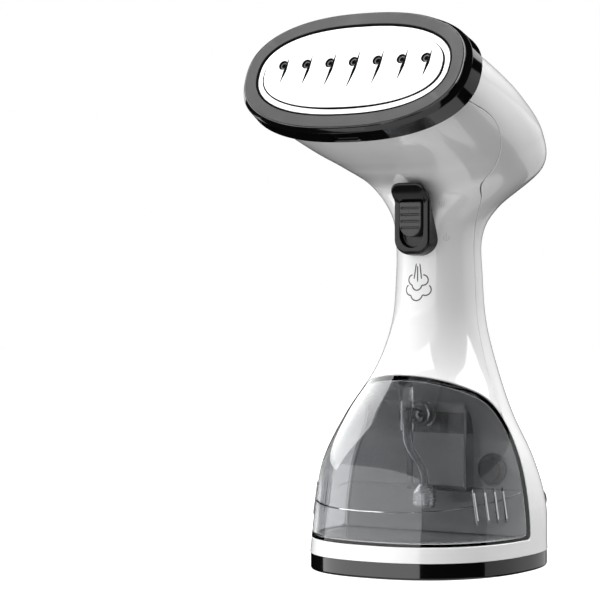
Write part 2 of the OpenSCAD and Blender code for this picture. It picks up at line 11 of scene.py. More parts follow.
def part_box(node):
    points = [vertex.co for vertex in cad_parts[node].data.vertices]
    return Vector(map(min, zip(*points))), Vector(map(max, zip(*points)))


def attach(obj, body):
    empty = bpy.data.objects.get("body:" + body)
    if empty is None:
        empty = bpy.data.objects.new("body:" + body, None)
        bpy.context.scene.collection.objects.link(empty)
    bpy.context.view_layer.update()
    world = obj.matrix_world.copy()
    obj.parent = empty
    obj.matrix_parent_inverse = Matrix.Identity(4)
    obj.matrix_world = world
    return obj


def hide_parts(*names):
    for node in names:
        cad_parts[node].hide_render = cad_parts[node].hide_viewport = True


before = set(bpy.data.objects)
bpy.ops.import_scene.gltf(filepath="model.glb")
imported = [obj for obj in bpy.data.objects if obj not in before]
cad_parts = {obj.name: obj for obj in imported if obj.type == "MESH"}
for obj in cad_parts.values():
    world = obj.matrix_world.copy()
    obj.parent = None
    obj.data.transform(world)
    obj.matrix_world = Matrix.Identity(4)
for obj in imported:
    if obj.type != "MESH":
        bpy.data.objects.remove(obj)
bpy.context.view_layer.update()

# Handheld garment steamer: fine skins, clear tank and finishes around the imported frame.
# Lengths in this script are millimetres in the frame's axes; MM turns them into metres.
MM = 0.001
TAU = 2 * math.pi


def box_mm(node):
    """Lowest and highest corner of a CAD node in millimetres."""
    lo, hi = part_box(node)
    return np.array(lo) / MM, np.array(hi) / MM


# ---------- sizes ----------
SHELL = 2.4
TANK_WALL = 2.2
TANK_GAP = 0.7
SEAM = 0.2
TILT = math.radians(24)
OUT = np.array([-math.cos(TILT), math.sin(TILT)])
UP_PLATE = np.array([math.sin(TILT), math.cos(TILT)])
FACE = np.array([-81.9, 269.2])
TONGUE = 2.6
FOOT_TOP = box_mm("base_foot")[1][2]
DECK_Z = box_mm("tank_deck")[1][2]
BASE_A, BASE_B = 60.5, 69.5
SKIN_Z = FOOT_TOP + 0.2
OVAL = 2.35
OVAL_POINTS = 240


def in_head(up, behind):
    """Side-view point in the steam head: up the plate, and behind it."""
    return list(FACE + up * UP_PLATE - behind * OUT)


# The housing's sections from foot to collar: front y z, back y z, half width, squareness
SECTIONS = np.array([
    [-BASE_B, SKIN_Z, BASE_B, SKIN_Z, BASE_A, OVAL],
    [-65.5, 35, 69, 35, 59, OVAL],
    [-62.5, 60, 60.5, 60, 54, 2.3],
    [-48.5, 85, 48, 85, 43.5, 2.25],
    [-27.5, 110, 43, 110, 32.5, 2.15],
    [-17, 135, 38, 135, 25.5, 2.1],
    [-14, 160, 35.5, 160, 23.5, 2.1],
    [-14, 181, 35, 183, 23.5, 2.1],
    [-12.5, 195, 44.5, 200, 29.5, 2.2],
    [-11, 208.5, 70.5, 226, 48, 2.4],
    [-32, 217, 57, 248, 56, 2.55],
    [-49, 222, 20, 268, 61, 2.55],
    [-66, 227, -18, 283, 63.5, 2.45],
    in_head(-33.8, 14) + in_head(33.8, 14) + [65, OVAL],
])
LAST = len(SECTIONS) - 1

Form = namedtuple("Form", "points faces normals")


# ---------- curves ----------
def spline(values, s):
    """Smooth curve through rows of values, one span between neighbours."""
    ends = np.vstack([2 * values[0] - values[1], values, 2 * values[-1] - values[-2]])
    k = np.clip(np.floor(s).astype(int), 0, len(values) - 2)
    t = (s - k)[:, None]
    a, b, c, d = ends[k], ends[k + 1], ends[k + 2], ends[k + 3]
    return 0.5 * (2 * b + (c - a) * t + (2 * a - 5 * b + 4 * c - d) * t * t
                  + (3 * b - a - 3 * c + d) * t ** 3)


def bezier(a, b, c, d, steps):
    t = np.linspace(0, 1, steps + 1)[:, None]
    a, b, c, d = (np.array(p, float) for p in (a, b, c, d))
    return (1 - t) ** 3 * a + 3 * (1 - t) ** 2 * t * b + 3 * (1 - t) * t * t * c + t ** 3 * d


def unit(v):
    v = np.asarray(v, float)
    return v / np.maximum(np.linalg.norm(v, axis=-1, keepdims=True), 1e-12)


def fillet(corners, closed=False, steps=5):
    """Outline through corners (x, y, radius), with each corner that has a radius made round."""
    out = []
    for k, (x, y, r) in enumerate(corners):
        p = np.array([x, y], float)
        at_end = not closed and k in (0, len(corners) - 1)
        if r == 0 or at_end:
            out.append(p)
            continue
        before = unit(np.array(corners[k - 1][:2]) - p)
        after = unit(np.array(corners[(k + 1) % len(corners)][:2]) - p)
        half = math.acos(max(-1, min(1, before @ after))) / 2
        centre = p + unit(before + after) * r / math.sin(half)
        v0 = unit(p + before * r / math.tan(half) - centre)
        v1 = unit(p + after * r / math.tan(half) - centre)
        turn = math.acos(max(-1, min(1, v0 @ v1)))
        for i in range(steps + 1):
            t = i / steps
            v = (math.sin((1 - t) * turn) * v0 + math.sin(t * turn) * v1) / math.sin(turn)
            out.append(centre + r * v)
    return np.array(out)


# ---------- meshes ----------
def linked(obj):
    bpy.context.scene.collection.objects.link(obj)
    return obj


def mesh_object(name, points, faces, normals=None):
    """Smooth mesh object from points in millimetres, with its own vertex normals if given."""
    mesh = bpy.data.meshes.new(name)
    mesh.from_pydata((np.asarray(points) * MM).tolist(), [], [list(map(int, f)) for f in faces])
    mesh.polygons.foreach_set("use_smooth", [True] * len(mesh.polygons))
    if normals is not None:
        mesh.normals_split_custom_set_from_vertices(np.asarray(normals).tolist())
    return linked(bpy.data.objects.new(name, mesh))


def form_object(name, form):
    return mesh_object(name, form.points, form.faces, form.normals)


def even_shading(obj, angle=32):
    """Flat faces stay flat and rounded edges stay smooth."""
    obj.data.polygons.foreach_set("use_smooth", [True] * len(obj.data.polygons))
    obj.data.set_sharp_from_angle(angle=math.radians(angle))
    m = obj.modifiers.new("even_shading", "WEIGHTED_NORMAL")
    m.keep_sharp = True
    m.weight = 90
    return obj


def applied(obj):
    """Makes the result of the object's modifiers its own mesh."""
    dg = bpy.context.evaluated_depsgraph_get()
    dg.update()
    mesh = bpy.data.meshes.new_from_object(obj.evaluated_get(dg))
    obj.modifiers.clear()
    obj.data = mesh
    return obj


def combine(obj, other, operation="DIFFERENCE"):
    """Boolean of obj with other, which is used up."""
    m = obj.modifiers.new("combine", "BOOLEAN")
    m.operation = operation
    m.solver = "EXACT"
    m.object = other
    applied(obj)
    bpy.data.objects.remove(other)
    return obj


def take_normals(obj, forms, within=0.03):
    """Gives the faces that lie on the given smooth forms those forms' own normals."""
    trees = []
    for form in forms:
        tris = [(f[0], f[i], f[i + 1]) for f in form.faces for i in range(1, len(f) - 1)]
        points = [Vector(p) for p in (form.points * MM).tolist()]
        trees.append((BVHTree.FromPolygons(points, tris), points, tris, form.normals))
    mesh = obj.data
    normals = [None] * len(mesh.loops)
    for face in mesh.polygons:
        found = [(t[0].find_nearest(face.center), t) for t in trees]
        hit, tree = min(found, key=lambda h: h[0][3])
        on_it = hit[3] < within * MM and abs(hit[1].dot(face.normal)) > 0.8
        side = 1 if hit[1].dot(face.normal) > 0 else -1
        for k in face.loop_indices:
            if not on_it:
                normals[k] = tuple(face.normal)
                continue
            near = tree[0].find_nearest(mesh.vertices[mesh.loops[k].vertex_index].co)
            i, j, m = tree[2][near[2]]
            a, b, c = tree[1][i], tree[1][j], tree[1][m]
            area = (b - a).cross(c - a)
            size = max(area.length_squared, 1e-30)
            u = (b - near[0]).cross(c - near[0]).dot(area) / size
            v = (c - near[0]).cross(a - near[0]).dot(area) / size
            n = tree[3][i] * u + tree[3][j] * v + tree[3][m] * (1 - u - v)
            normals[k] = tuple(side * unit(n))
    mesh.polygons.foreach_set("use_smooth", [True] * len(mesh.polygons))
    mesh.normals_split_custom_set(normals)
    return obj


def strip(lower, upper, closed=True):
    """Quads between two rows of vertex numbers."""
    n = len(lower)
    ahead = [(i, (i + 1) % n) for i in range(n if closed else n - 1)]
    return [(lower[i], lower[j], upper[j], upper[i]) for i, j in ahead]


def outward(obj):
    """Turns all faces outwards."""
    b = bmesh.new()
    b.from_mesh(obj.data)
    bmesh.ops.recalc_face_normals(b, faces=b.faces)
    b.to_mesh(obj.data)
    b.free()
    return obj


def loft(name, rings, closed=False):
    """Skin through rings of points, with end caps; closed joins the last ring to the first instead."""
    n = len(rings[0])
    rows = [list(range(k * n, (k + 1) * n)) for k in range(len(rings))]
    faces = [f for k in range(len(rows) - 1) for f in strip(rows[k], rows[k + 1])]
    if closed:
        faces += strip(rows[-1], rows[0])
    else:
        faces += [tuple(reversed(rows[0])), tuple(rows[-1])]
    return outward(even_shading(mesh_object(name, np.vstack(rings), faces)))


def polar(a, b):
    """Round-cornered oval of half sizes a and b."""
    t = TAU * np.arange(OVAL_POINTS) / OVAL_POINTS
    r = (np.abs(np.cos(t)) ** OVAL + np.abs(np.sin(t)) ** OVAL) ** (-1 / OVAL)
    return np.column_stack([a * r * np.cos(t), b * r * np.sin(t)])


def at_height(outline, z):
    """An outline of (x, y) as points at one height."""
    return np.column_stack([outline, np.full(len(outline), z)])


def at_depth(outline, y):
    """A front-view outline of (x, z) as points at depth y, which is one value or one per point."""
    return np.column_stack([outline[:, 0], np.broadcast_to(y, len(outline)), outline[:, 1]])


def around(side, third, count):
    """Unit vectors all the way round, from side towards third."""
    t = TAU * np.arange(count)[:, None] / count
    return np.cos(t) * side + np.sin(t) * third


def on_face(points):
    """From the steam plate's own axes (across, up the plate, out to the front) to the frame."""
    p = np.atleast_2d(points)
    yz = FACE + p[:, 1:2] * UP_PLATE + p[:, 2:3] * OUT
    return np.column_stack([p[:, 0], yz])


def oval_solid(name, a, b, profile, closed=True, place=on_face):
    """Oval ring or slab whose cut is a profile of (inset from the outline, height)."""
    rings = [place(at_height(polar(a - inset, b - inset), height)) for inset, height in profile]
    return loft(name, rings, closed)


def lathe(name, profile, origin, axis, count=64, closed=True):
    """Solid of revolution: profile of (radius, distance along the axis)."""
    axis = unit(axis)
    side = unit(np.cross(axis, [0.31, 0.17, 0.93]))
    spokes = around(side, np.cross(axis, side), count)
    rings = [np.array(origin) + h * axis + max(r, 0.01) * spokes for r, h in profile]
    return loft(name, rings, closed)


def drill(obj, r, first, last, origin):
    """Round hole along Y through obj."""
    profile = [(0, first), (r, first), (r, last), (0, last)]
    combine(obj, lathe("drill", profile, origin, (0, 1, 0), 48, False))


def tube_rings(path, r, sides):
    """Rings round a path, carried along it without twist."""
    path = np.array(path, float)
    t = unit(np.gradient(path, axis=0))
    u = unit(np.cross(t[0], [0.2, 0.3, 0.93]))
    rings = []
    for p, d in zip(path, t):
        u = unit(u - d * (u @ d))
        rings.append(p + r * around(u, np.cross(d, u), sides))
    return rings


def hose(name, path, r, bore, sides=32):
    """Tube with a bore, open at both ends."""
    rings = tube_rings(path, r, sides) + tube_rings(path, bore, sides)[::-1]
    return loft(name, rings, True)


# ---------- the housing's surface ----------
def housing(s, a, inset=0.0):
    """Point of the housing: s counts sections up from the foot, a turns from the back over +X."""
    inside = np.clip(s, 0, LAST)
    v = spline(SECTIONS, inside)
    front, back, width, n = v[:, 0:2], v[:, 2:4], v[:, 4], v[:, 5]
    half = np.linalg.norm(back - front, axis=1) / 2
    c, q = np.cos(a), np.sin(a)
    r = (np.abs(c) ** n + np.abs(q) ** n) ** (-1 / n)
    yz = (front + back) / 2 + unit(back - front) * ((half - inset) * r * c)[:, None]
    yz = yz + np.maximum(s - LAST, 0)[:, None] * TONGUE * OUT
    return np.column_stack([(width - inset) * r * q, yz])


def housing_normal(s, a, inset=0.0):
    step = 2e-3
    up = housing(s + step, a, inset) - housing(s - step, a, inset)
    round_it = housing(s, a + step, inset) - housing(s, a - step, inset)
    return unit(np.cross(up, round_it))


# Side view of the tank's edge: upright rear edge, shoulder, sloping roof
ARCH_Y = 6.3
ARCH_R = 30
ARCH_Z = 70.8
ARCH_SLOPE = math.radians(25.9)
ARCH_C = np.array([ARCH_Y - ARCH_R, ARCH_Z])
ROOF_N = np.array([math.sin(ARCH_SLOPE), math.cos(ARCH_SLOPE)])
CORNER_R = 3.0


def tank_side(p, gap=0.0, corner=0.0):
    """Signed distance in side view to the tank's outline taken in by gap; negative inside."""
    y, z = p[:, 1], p[:, 2]
    dy, dz = y - ARCH_C[0], z - ARCH_C[1]
    roof = dy * ROOF_N[0] + dz * ROOF_N[1] - ARCH_R
    arc = np.hypot(dy, dz) - ARCH_R
    in_arc = (dz > 0) & (dy * ROOF_N[1] - dz * ROOF_N[0] > 0)
    rear = np.where(dz <= 0, y - ARCH_Y, np.where(in_arc, arc, roof)) + gap
    floor = DECK_Z + gap / 2 - z
    if corner == 0:
        return np.maximum(rear, floor)
    a, b = rear + corner, floor + corner
    return np.minimum(np.maximum(a, b), 0) + np.hypot(np.maximum(a, 0), np.maximum(b, 0)) - corner


SEAM_POINTS = np.array([
    in_head(-12, -6), in_head(-11.5, 14), [-41, 244.5], [-21, 231], [-6, 215],
    [4, 200], [8.5, 183], [9.5, 160], [9, 135], [7.5, 115], [5, 98], [4, 82],
])
SEAM_LINE = spline(SEAM_POINTS, np.linspace(0, len(SEAM_POINTS) - 1, 89))
SEAM_LINE[0] += 60 * unit(SEAM_LINE[0] - SEAM_LINE[1])
SEAM_LINE[-1] += 60 * unit(SEAM_LINE[-1] - SEAM_LINE[-2])


def in_front(p):
    """Signed distance in side view to the seam between the white shells; positive in front of it."""
    q = p[:, None, 1:] - SEAM_LINE[None, :-1]
    d = SEAM_LINE[1:] - SEAM_LINE[:-1]
    t = np.clip((q * d).sum(2) / (d * d).sum(1), 0, 1)
    away = q - t[:, :, None] * d
    gap = np.hypot(away[:, :, 0], away[:, :, 1])
    k = np.argmin(gap, axis=1)
    row = np.arange(len(p))
    turn = d[k, 0] * q[row, k, 1] - d[k, 1] * q[row, k, 0]
    return -np.sign(turn) * gap[row, k]


def hole(p, x, z, r):
    """Signed distance to a round hole along Y in the rear of the housing; positive inside it."""
    inside = r - np.hypot(p[:, 0] - x, p[:, 2] - z)
    return np.where(p[:, 1] > 15, inside, -99.0)


def trimmed(field, spans, inset=0.0, columns=200):
    """The part of the housing's surface where field is negative, cut cleanly along its edge."""
    s = np.repeat(spans, columns)
    a = np.tile(TAU * np.arange(columns) / columns, len(spans))
    value = field(housing(s, a, inset))
    index = np.arange(len(s)).reshape(len(spans), columns)
    beside = np.roll(index, -1, axis=1)
    edges = np.vstack([
        np.column_stack([index.ravel(), beside.ravel()]),
        np.column_stack([index[:-1].ravel(), index[1:].ravel()]),
    ])

    def crossings():
        e = edges[value[edges[:, 0]] * value[edges[:, 1]] < 0]
        s0, a0 = s[e[:, 0]], a[e[:, 0]]
        ds = s[e[:, 1]] - s0
        da = (a[e[:, 1]] - a0 + math.pi) % TAU - math.pi
        lo, hi = np.zeros(len(e)), np.ones(len(e))
        start = np.sign(value[e[:, 0]])
        for _ in range(22):
            m = (lo + hi) / 2
            same = np.sign(field(housing(s0 + ds * m, a0 + da * m, inset))) == start
            lo, hi = np.where(same, m, lo), np.where(same, hi, m)
        return e, m, s0 + ds * m, a0 + da * m

    e, m, cs, ca = crossings()
    best = {}
    for k in range(len(e)):
        for end, far in ((0, m[k]), (1, 1 - m[k])):
            v = e[k, end]
            if far < 0.3 and far < best.get(v, (1,))[0]:
                best[v] = (far, cs[k], ca[k])
    for v, (_, new_s, new_a) in best.items():
        s[v], a[v], value[v] = new_s, new_a, 0.0
    e, m, cs, ca = crossings()
    cut = {(int(u), int(v)): len(s) + k for k, (u, v) in enumerate(e)}
    s, a = np.concatenate([s, cs]), np.concatenate([a, ca])

    corners = np.stack([index[:-1], index[1:], beside[1:], beside[:-1]], axis=2).reshape(-1, 4)
    inside = (value[corners] <= 0).all(axis=1) & (value[corners] < 0).any(axis=1)
    faces = [tuple(c) for c in corners[inside].tolist()]
    mixed = (value[corners] > 0).any(axis=1) & (value[corners] < 0).any(axis=1)
    for c in corners[mixed].tolist():
        face = []
        for u, v in zip(c, c[1:] + c[:1]):
            if value[u] <= 0:
                face.append(u)
            if value[u] * value[v] < 0:
                face.append(cut.get((u, v), cut.get((v, u))))
        if len(face) > 2:
            faces.append(tuple(face))
    used = np.unique(np.concatenate([np.array(f) for f in faces]))
    place = np.full(len(s), -1)
    place[used] = np.arange(len(used))
    s, a = s[used], a[used]
    faces = [tuple(int(place[v]) for v in f) for f in faces]
    return Form(housing(s, a, inset), faces, housing_normal(s, a, inset))


def rims(faces):
    """Closed loops of vertices along the open edges of a surface."""
    edges = {(u, v) for f in faces for u, v in zip(f, f[1:] + f[:1])}
    ahead = {u: v for u, v in edges if (v, u) not in edges}
    loops = []
    while ahead:
        start = min(ahead)
        loop, v = [start], ahead.pop(start)
        while v != start:
            loop.append(v)
            v = ahead.pop(v)
        loops.append(loop)
    return loops


def outwards_from(skin, loop):
    """Direction that leaves the surface at each point of a rim, along the surface."""
    p, n = skin.points[loop], skin.normals[loop]
    ahead = unit(np.roll(p, -1, axis=0) - p)
    g = unit(np.cross(ahead, n) + np.cross(np.roll(ahead, 1, axis=0), n))
    return unit(g - n * (g * n).sum(1, keepdims=True))


def rim_rows(skin, loop, lip, stops, total):
    """Rounded rim: its points, normals and rows of vertex numbers, which go on from total.

    Each stop is how many quarter turns the rim has made and how deep the round's centre lies.
    """
    p, n, g = skin.points[loop], skin.normals[loop], outwards_from(skin, loop)
    points, normals, rows = [], [], [list(loop)]
    for quarters, depth in stops:
        t = quarters * math.pi / 2
        points.append(p + lip * math.sin(t) * g - (depth - lip * math.cos(t)) * n)
        normals.append(math.cos(t) * n + math.sin(t) * g)
        rows.append(list(range(total, total + len(loop))))
        total += len(loop)
    return points, normals, rows, total


def rim_faces(rows):
    return [tuple(reversed(f)) for lower, upper in zip(rows, rows[1:]) for f in strip(lower, upper)]


def thick_skin(skin, wall, lip, steps=4):
    """Closed shell: the surface, its inner side a wall deeper, and rounded rims between them."""
    count = len(skin.points)
    points = [skin.points, skin.points - wall * skin.normals]
    normals = [skin.normals, -skin.normals]
    faces = list(skin.faces) + [tuple(count + v for v in reversed(f)) for f in skin.faces]
    stops = [(k / steps, lip) for k in range(1, steps + 1)]
    stops += [(1 + k / steps, wall - lip) for k in range(steps)]
    total = 2 * count
    for loop in rims(skin.faces):
        rim_points, rim_normals, rows, total = rim_rows(skin, loop, lip, stops, total)
        points += rim_points
        normals += rim_normals
        faces += rim_faces(rows + [[count + v for v in loop]])
    return Form(np.vstack(points), faces, np.vstack(normals))


def bridged(skin, lip, columns=36, steps=5):
    """Closed body: the surface, its rounded rim, and straight rows across between the two sides."""
    loop = max(rims(skin.faces), key=len)
    top = max(range(len(loop)), key=lambda k: skin.points[loop[k]][2] - 9 * abs(skin.points[loop[k]][0]))
    loop = loop[top:] + loop[:top]
    stops = [(k / steps, lip) for k in range(1, steps + 1)]
    points, normals, rows, total = rim_rows(skin, loop, lip, stops, len(skin.points))
    points, normals = [skin.points] + points, [skin.normals] + normals
    faces = list(skin.faces) + rim_faces(rows)
    edge, size = rows[-1], len(loop)
    edge_p, edge_n = points[-1], normals[-1]
    half = size // 2
    across = [[edge[0]] * (columns + 1)]
    for k in range(1, half):
        t = np.linspace(0, 1, columns + 1)[1:-1, None]
        points.append(edge_p[k] + t * (edge_p[-k] - edge_p[k]))
        normals.append(unit(edge_n[k] + t * (edge_n[-k] - edge_n[k])))
        across.append([edge[k]] + list(range(total, total + columns - 1)) + [edge[-k]])
        total += columns - 1
    across.append([edge[half]] * (columns + 1))
    for lower, upper in zip(across, across[1:]):
        faces += [tuple(dict.fromkeys(f)) for f in strip(lower, upper, False)]
    return Form(np.vstack(points), faces, np.vstack(normals))


def capsule(start, end, r, count=16, steps=6):
    """Rounded bar from start to end."""
    start, end = np.array(start, float), np.array(end, float)
    axis = unit(end - start)
    side = unit(np.cross(axis, [0.1, 0.9, 0.3]))
    spokes = around(side, np.cross(axis, side), count)
    points, normals = [], []
    for centre, first, last in ((start, -90, 0), (end, 0, 90)):
        for lift in np.radians(np.linspace(first, last, steps + 1)):
            n = math.cos(lift) * spokes + math.sin(lift) * axis
            points.append(centre + r * n)
            normals.append(n)
    faces = [tuple(range(count - 1, -1, -1))]
    for k in range(len(points) - 1):
        faces += strip(range(k * count, (k + 1) * count), range((k + 1) * count, (k + 2) * count))
    faces.append(tuple(range((len(points) - 1) * count, len(points) * count)))
    return Form(np.vstack(points), faces, np.vstack(normals))


def tree_of(form):
    return BVHTree.FromPolygons([Vector(p) for p in form.points.tolist()], form.faces)


def from_front(tree, x, z):
    """Where a ray from the front meets the form at x, z, and the normal there."""
    return tree.ray_cast(Vector((x, -100, z)), Vector((0, 1, 0)))[:2]


def block(name, lo, hi, place=None):
    """Plain box, used as a cutter."""
    corners = [(x, y, z) for x in (lo[0], hi[0]) for y in (lo[1], hi[1]) for z in (lo[2], hi[2])]
    faces = [(0, 1, 3, 2), (4, 6, 7, 5), (0, 4, 5, 1), (2, 3, 7, 6), (0, 2, 6, 4), (1, 5, 7, 3)]
    return mesh_object(name, place(corners) if place else corners, faces)


def piece(obj, material, slot, *replaced, body="housing"):
    """Gives a finished mesh its material and its body, and hides the CAD nodes that it stands for."""
    obj.data.materials.clear()
    obj.data.materials.append(material)
    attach(obj, body)
    if replaced:
        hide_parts(*replaced)
    return obj


# ---------- materials ----------
class Nodes:
    """Short hand for a material's node tree."""

    def __init__(self, name):
        self.material = bpy.data.materials.new(name)
        self.material.use_nodes = True
        self.tree = self.material.node_tree
        self.shader = self.tree.nodes["Principled BSDF"]
        self.place = self.add("ShaderNodeTexCoord").outputs["Object"]

    def add(self, kind, **settings):
        node = self.tree.nodes.new(kind)
        for key, value in settings.items():
            setattr(node, key, value)
        return node

    def link(self, source, target):
        self.tree.links.new(source, target)

    def feed(self, socket, source):
        self.link(source, self.shader.inputs[socket])

    def noise(self, scale, detail=3.0, rough=0.5, stretch=None):
        """Noise with a feature about 1/scale metres across."""
        node = self.add("ShaderNodeTexNoise")
        node.inputs["Scale"].default_value = scale
        node.inputs["Detail"].default_value = detail
        node.inputs["Roughness"].default_value = rough
        source = self.place
        if stretch:
            mapping = self.add("ShaderNodeMapping")
            mapping.inputs["Scale"].default_value = stretch
            self.link(self.place, mapping.inputs["Vector"])
            source = mapping.outputs["Vector"]
        self.link(source, node.inputs["Vector"])
        return node.outputs["Fac"]

    def spread(self, source, low, high, first=0.3, last=0.7):
        """Maps a noise's middle values to the range from low to high."""
        node = self.add("ShaderNodeMapRange")
        for key, value in (("From Min", first), ("From Max", last), ("To Min", low), ("To Max", high)):
            node.inputs[key].default_value = value
        self.link(source, node.inputs["Value"])
        return node.outputs["Result"]

    def mixed(self, share, first, second):
        """Mix of two colours, each of them three numbers or a socket."""
        node = self.add("ShaderNodeMix", data_type="RGBA")
        self.link(share, node.inputs[0])
        for colour, target in ((first, node.inputs[6]), (second, node.inputs[7])):
            if isinstance(colour, tuple):
                target.default_value = (*colour, 1)
            else:
                self.link(colour, target)
        return node.outputs[2]

    def bumped(self, height, strength, depth=0.0001, normal=None):
        node = self.add("ShaderNodeBump")
        node.inputs["Strength"].default_value = strength
        node.inputs["Distance"].default_value = depth
        self.link(height, node.inputs["Height"])
        if normal is not None:
            self.link(normal, node.inputs["Normal"])
        return node.outputs["Normal"]

    def edges(self):
        """1 on worn edges, 0 elsewhere, broken up by a noise."""
        pointed = self.spread(self.add("ShaderNodeNewGeometry").outputs["Pointiness"], 0, 1, 0.52, 0.62)
        patch = self.spread(self.noise(160, 4), 0.1, 1)
        node = self.add("ShaderNodeMath", operation="MULTIPLY")
        self.link(pointed, node.inputs[0])
        self.link(patch, node.inputs[1])
        return node.outputs[0]


def set_sockets(nodes, sockets):
    for key, value in sockets.items():
        nodes.shader.inputs[key].default_value = value


def moulded(name, colour, rough, grain=0.03, grain_size=1400, tone=0.03, wear=0.0, **sockets):
    """Injection-moulded plastic: faint flow tone, uneven gloss, fine skin, edges a little worn."""
    n = Nodes(name)
    dark = tuple(c * (1 - tone) for c in colour)
    flow = n.spread(n.noise(22, 4, 0.6, (1, 1, 0.45)), 0, 1)
    base = n.mixed(flow, dark, colour)
    if wear:
        worn = tuple(min(1, c + (0.6 - c) * wear) for c in colour)
        base = n.mixed(n.edges(), base, worn)
    n.feed("Base Color", base)
    n.feed("Roughness", n.spread(n.noise(70, 5, 0.6), rough * 0.82, rough * 1.25))
    skin = n.bumped(n.noise(grain_size, 2), grain, 0.00006)
    n.feed("Normal", n.bumped(n.noise(60, 2), grain * 0.6, 0.0002, skin))
    set_sockets(n, sockets)
    return n.material


def clear_plastic(name, colour, rough=0.03, ior=1.49):
    """Transparent moulding: tinted, with faint flow marks and fine scuffs."""
    n = Nodes(name)
    flow = n.spread(n.noise(16, 3, 0.5, (1, 1, 0.3)), 0, 1)
    n.feed("Base Color", n.mixed(flow, tuple(c * 0.97 for c in colour), colour))
    scuffs = n.spread(n.noise(420, 6, 0.7, (1, 1, 0.15)), rough, rough * 2.2, 0.55, 0.8)
    n.feed("Roughness", scuffs)
    n.feed("Normal", n.bumped(n.noise(45, 2), 0.05, 0.0002))
    set_sockets(n, {"IOR": ior, "Transmission Weight": 1.0})
    return n.material


def metal(name, colour, rough, cast=0.0, stretch=None):
    """Bare metal: brushed along one way, or with a cast skin."""
    n = Nodes(name)
    tone = n.spread(n.noise(130, 5, 0.65, stretch), 0, 1)
    n.feed("Base Color", n.mixed(tone, tuple(c * 0.82 for c in colour), colour))
    n.feed("Roughness", n.spread(n.noise(300, 4, 0.6, stretch), rough * 0.7, rough * 1.4))
    n.feed("Normal", n.bumped(n.noise(900, 4, 0.6, stretch), 0.08 + cast, 0.0001))
    set_sockets(n, {"Metallic": 1.0})
    return n.material


def circuit_board(name):
    """Green solder mask with lighter copper tracks below it."""
    n = Nodes(name)
    cells = n.add("ShaderNodeTexVoronoi", feature="DISTANCE_TO_EDGE", distance="MANHATTAN")
    cells.inputs["Scale"].default_value = 180
    n.link(n.place, cells.inputs["Vector"])
    track = n.spread(cells.outputs["Distance"], 1, 0, 0.06, 0.1)
    n.feed("Base Color", n.mixed(track, (0.01, 0.11, 0.05), (0.05, 0.24, 0.11)))
    n.feed("Roughness", n.spread(n.noise(200), 0.25, 0.45))
    n.feed("Normal", n.bumped(track, 0.3, 0.00005))
    return n.material


WHITE = moulded("white_gloss", (0.86, 0.86, 0.865), 0.10, 0.012, 700, 0.008,
                **{"Coat Weight": 0.5, "Coat Roughness": 0.04, "IOR": 1.5})
WHITE_IN = moulded("white_satin", (0.78, 0.78, 0.78), 0.4, 0.12, 1500, 0.03)
BLACK = moulded("black_gloss", (0.004, 0.004, 0.0042), 0.09, 0.015, 900, 0.2, 0.05,
                **{"Coat Weight": 0.6, "Coat Roughness": 0.03, "IOR": 1.52})
BLACK_IN = moulded("black_satin", (0.03, 0.03, 0.032), 0.38, 0.15, 1500, 0.1, 0.1)
RING_GREY = moulded("ring_satin_grey", (0.042, 0.042, 0.043), 0.45, 0.05, 1600, 0.03, 0.04,
                    **{"Specular IOR Level": 0.35})
PLATE_WHITE = moulded("plate_ceramic_white", (0.9, 0.9, 0.9), 0.22, 0.02, 900, 0.01,
                      **{"Coat Weight": 0.3, "Coat Roughness": 0.1})
SWITCH_BLACK = moulded("switch_black", (0.005, 0.005, 0.0053), 0.18, 0.03, 1200, 0.1, 0.05,
                       **{"Specular IOR Level": 0.4})
SLIDER_BLACK = moulded("slider_black", (0.035, 0.035, 0.037), 0.3, 0.08, 1400, 0.08, 0.1)
RED = moulded("plunger_red", (0.45, 0.03, 0.02), 0.35, 0.05)
SMOKE = clear_plastic("smoke_clear", (0.48, 0.485, 0.495))
HOSE = clear_plastic("hose_clear", (0.88, 0.89, 0.9), 0.12, 1.42)
RUBBER = moulded("seal_rubber", (0.05, 0.05, 0.052), 0.6, 0.25, 1100, 0.15)
CAST = metal("cast_aluminium", (0.62, 0.62, 0.63), 0.38, 0.3)
STEEL = metal("steel", (0.66, 0.66, 0.67), 0.22, 0.02, (1, 1, 8))
COPPER = metal("coil_copper", (0.72, 0.33, 0.16), 0.28, 0.05, (1, 1, 14))
BOARD = circuit_board("board_green")
# Pale opaque strips on the tank's grip ribs: a painted highlight along each rib's crest.
RIB_HIGHLIGHT_PAINT = moulded("rib_frosted", (0.7, 0.7, 0.71), 0.35, 0.1)
INK = moulded("print_grey", (0.07, 0.07, 0.072), 0.5, 0.05)
# Near-black, barely reflecting cups in the steam holes: painted shade inside the holes.
NOZZLE_SHADE = moulded("nozzle_painted_shade", (0.003, 0.003, 0.003), 0.35, 0.1, **{"Specular IOR Level": 0.06})
# Grey rings inside the near-black steam-hole cups: painted highlight arcs.
JET_HIGHLIGHT_GREY = moulded("jet_painted_highlight", (0.14, 0.14, 0.14), 0.3, 0.05)
# Black for the plate's seal, and for painted shade: the lines in the grooves beside the steam holes and the
# shadow line round the raised panel.
SEAL_AND_SHADE_BLACK = moulded("seal_and_painted_shade_black", (0.002, 0.002, 0.002), 0.6, 0.05, **{"Specular IOR Level": 0.04})
INK_PALE = moulded("print_pale_grey", (0.62, 0.62, 0.625), 0.4, 0.05)


# ---------- white shells ----------
GLAND = (22, 31.5, 8.1)
SCREW_HOLES = [(0, 125, 3.8), (0, 157, 3.8)]
LIP = 0.25
SPANS = np.concatenate([
    np.linspace(0, 1, 17)[:-1], np.linspace(1, LAST, (LAST - 1) * 14 + 1), [LAST + 0.5, LAST + 1],
])


def rear_field(p):
    kept = np.maximum(-tank_side(p), np.minimum(in_front(p), p[:, 2] - 60))
    for x, z, r in [GLAND] + SCREW_HOLES:
        kept = np.maximum(kept, hole(p, x, z, r))
    return kept + LIP


def front_field(p):
    return np.maximum(np.maximum(SEAM - in_front(p), -tank_side(p)), 75 - p[:, 2]) + LIP


